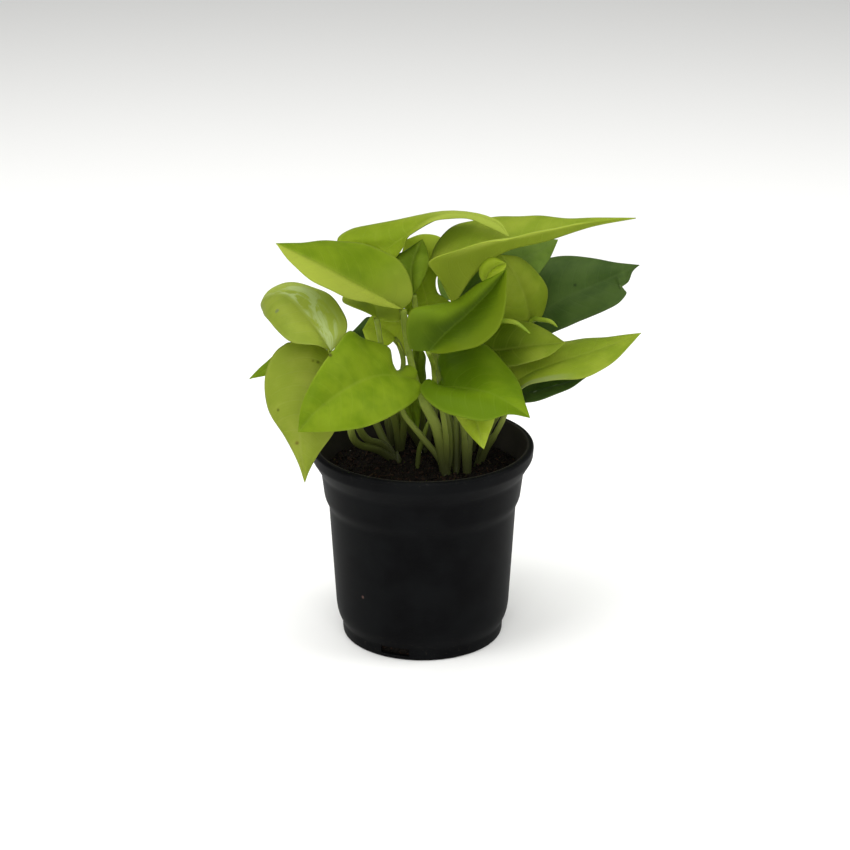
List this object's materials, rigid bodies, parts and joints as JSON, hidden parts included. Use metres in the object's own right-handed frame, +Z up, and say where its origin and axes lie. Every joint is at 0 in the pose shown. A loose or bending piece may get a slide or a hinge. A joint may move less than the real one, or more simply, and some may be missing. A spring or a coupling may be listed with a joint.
{
  "type": "potted plant",
  "caption": "Young leafy vine in a round nursery pot: heart-shaped lime and dark green blades on slim petioles that rise from the soil in a loose bundle.",
  "frame": {"origin": "centre of the pot's underside, on the surface that it stands on", "axes": "+Z up; the fullest side, which the picture shows, faces -Y, and the picture's right is +X"},
  "size_m": [0.1823, 0.1526, 0.2024],
  "materials": {
    "pot_plastic": "satin black moulded plastic",
    "potting_soil": "loose damp potting soil with bark bits",
    "stem_skin": "smooth pale green plant skin",
    "spear": "smooth lime plant skin",
    "lime_blade": "soft gloss lime leaf",
    "green_blade": "soft gloss mid green leaf",
    "dark_blade": "soft gloss dark green leaf"
  },
  "bodies": {
    "root": {"pot": "pot_plastic", "soil": "potting_soil", "stem_front": "stem_skin", "stem_front_middle": "stem_skin", "stem_front_right": "stem_skin", "stem_young_spear": "spear", "stem_right": "stem_skin", "stem_left": "stem_skin", "stem_middle": "stem_skin", "stem_back_right": "stem_skin", "stem_back": "stem_skin", "stem_back_left": "stem_skin", "leaf_top_left": "lime_blade", "leaf_under_top_left": "lime_blade", "leaf_dark_behind_left": "dark_blade", "leaf_behind_left": "lime_blade", "leaf_left_round": "lime_blade", "leaf_front_left_hanging": "lime_blade", "leaf_behind_hanging": "green_blade", "leaf_front_center": "lime_blade", "leaf_front_right": "lime_blade", "leaf_center_bowl": "lime_blade", "leaf_top_arch": "lime_blade", "leaf_shaded_small": "lime_blade", "leaf_behind_center": "lime_blade", "leaf_top_right_folded": "lime_blade", "leaf_young_curled": "lime_blade", "leaf_right_round": "lime_blade", "leaf_right_middle": "lime_blade", "leaf_lower_right_long": "lime_blade", "leaf_dark_lower_right": "dark_blade", "leaf_dark_upper_right": "dark_blade", "leaf_green_behind_right": "green_blade", "leaf_under_front_right": "lime_blade", "leaf_shaded_low": "lime_blade", "leaf_shaded_center": "lime_blade", "leaf_back_low_left": "lime_blade", "leaf_back_low_middle": "lime_blade", "leaf_back_low_right": "lime_blade", "leaf_back_high": "green_blade", "leaf_back_high_left": "lime_blade"}
  },
  "joints": []
}
